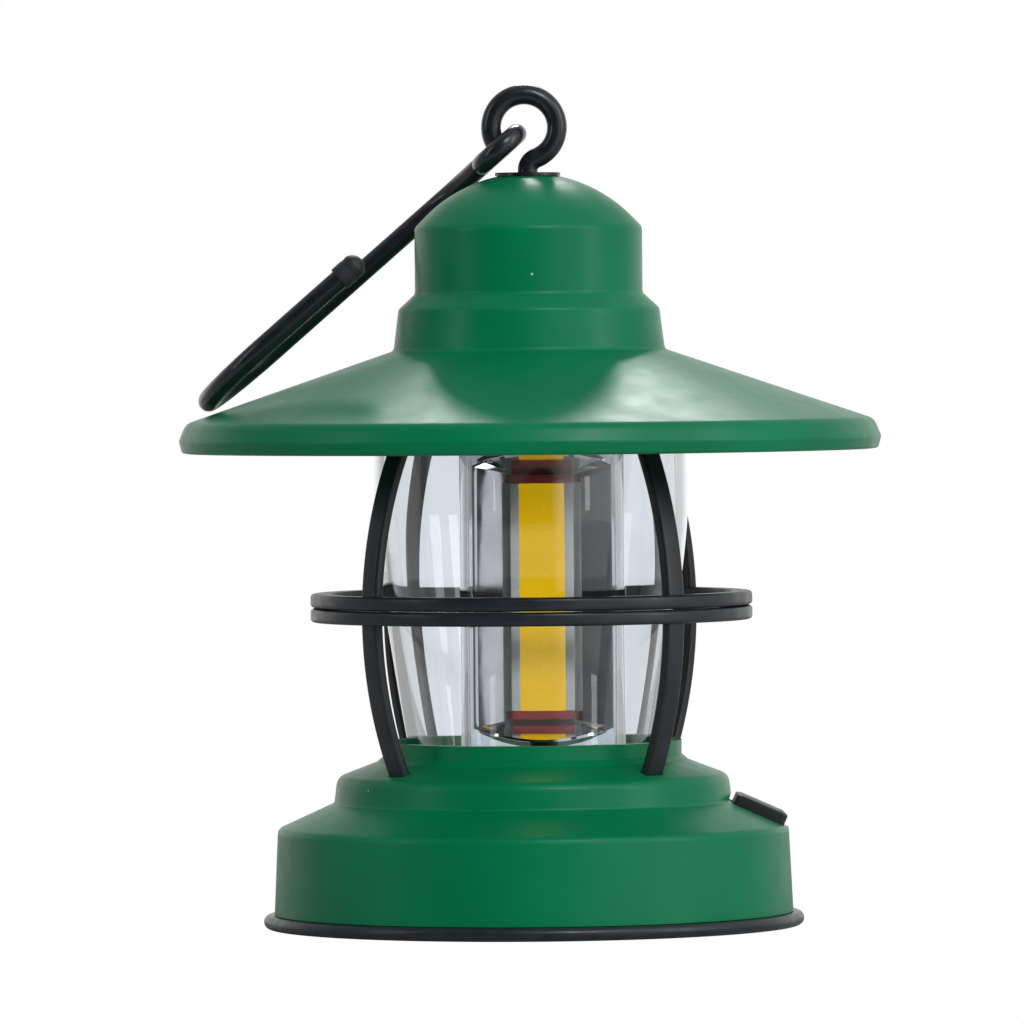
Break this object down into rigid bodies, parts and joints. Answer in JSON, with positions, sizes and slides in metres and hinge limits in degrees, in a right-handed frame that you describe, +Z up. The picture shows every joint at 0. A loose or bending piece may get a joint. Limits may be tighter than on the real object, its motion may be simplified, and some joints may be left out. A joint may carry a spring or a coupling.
{
  "type": "camping lantern",
  "caption": "Small battery camping lantern: flared hood, clear globe in a rib-and-ring cage, strip light, round base with push button, and a swinging carry hook.",
  "frame": {"origin": "centre of the resting plane under the base", "axes": "+Z up, -Y the lantern's front, +X towards the power button"},
  "size_m": [0.1056, 0.1054, 0.1264],
  "materials": {
    "green_paint": "satin",
    "black_metal": "satin gloss",
    "black_plastic": "satin",
    "black_rubber": "satin",
    "clear_plastic": "polished",
    "chrome_plating": "mirror",
    "led_board": "satin",
    "phosphor": "soft",
    "seal_rubber": "matt",
    "wire_sleeve": "satin",
    "grey_plastic": "matt",
    "white_plastic": "satin",
    "cell_wrap": "gloss",
    "circuit_board": "satin",
    "steel": "bright"
  },
  "bodies": {
    "lantern": {"hood": "green_paint", "hood_screws": "steel", "hood_washer": "black_metal", "top_holder": "black_plastic", "top_gasket": "seal_rubber", "globe": "clear_plastic", "light_tube": "clear_plastic", "reflector": "chrome_plating", "front_led_board": "led_board", "rear_led_board": "led_board", "front_led_strip": "phosphor", "rear_led_strip": "phosphor", "reflector_socket": "black_plastic", "led_wires": "wire_sleeve", "cage_upper": "black_plastic", "cage_lower": "black_plastic", "hanger_eye": "black_metal", "hanger_nut": "steel", "base_shell": "green_paint", "base_plate": "black_plastic", "base_screws": "steel", "battery_tray": "grey_plastic", "front_cell": "cell_wrap", "middle_cell": "cell_wrap", "rear_cell": "cell_wrap", "spring_contacts": "steel", "plate_contacts": "steel", "switch_body": "grey_plastic", "switch_board": "circuit_board", "control_board": "circuit_board", "board_screws": "steel"},
    "hook": {"carry_hook": "black_metal", "hook_tip": "black_rubber"},
    "button": {"power_button": "black_rubber", "switch_plunger": "white_plastic"},
    "door": {"battery_door": "black_plastic"}
  },
  "joints": [
    {"name": "hook_swing", "type": "hinge", "parent": "lantern", "child": "hook", "pos_m": [-0.0005, 0, 0.12], "axis": [0, 1, 0], "range_deg": [0, 240]},
    {"name": "button_push", "type": "slide", "parent": "lantern", "child": "button", "axis": [-0.4051, 0, -0.9143], "range_m": [0, 0.0008], "stiffness_N_per_m": 400},
    {"name": "door_swing", "type": "hinge", "parent": "lantern", "child": "door", "pos_m": [-0.025, 0, 0.0015], "axis": [0, 1, 0], "range_deg": [0, 95]}
  ]
}
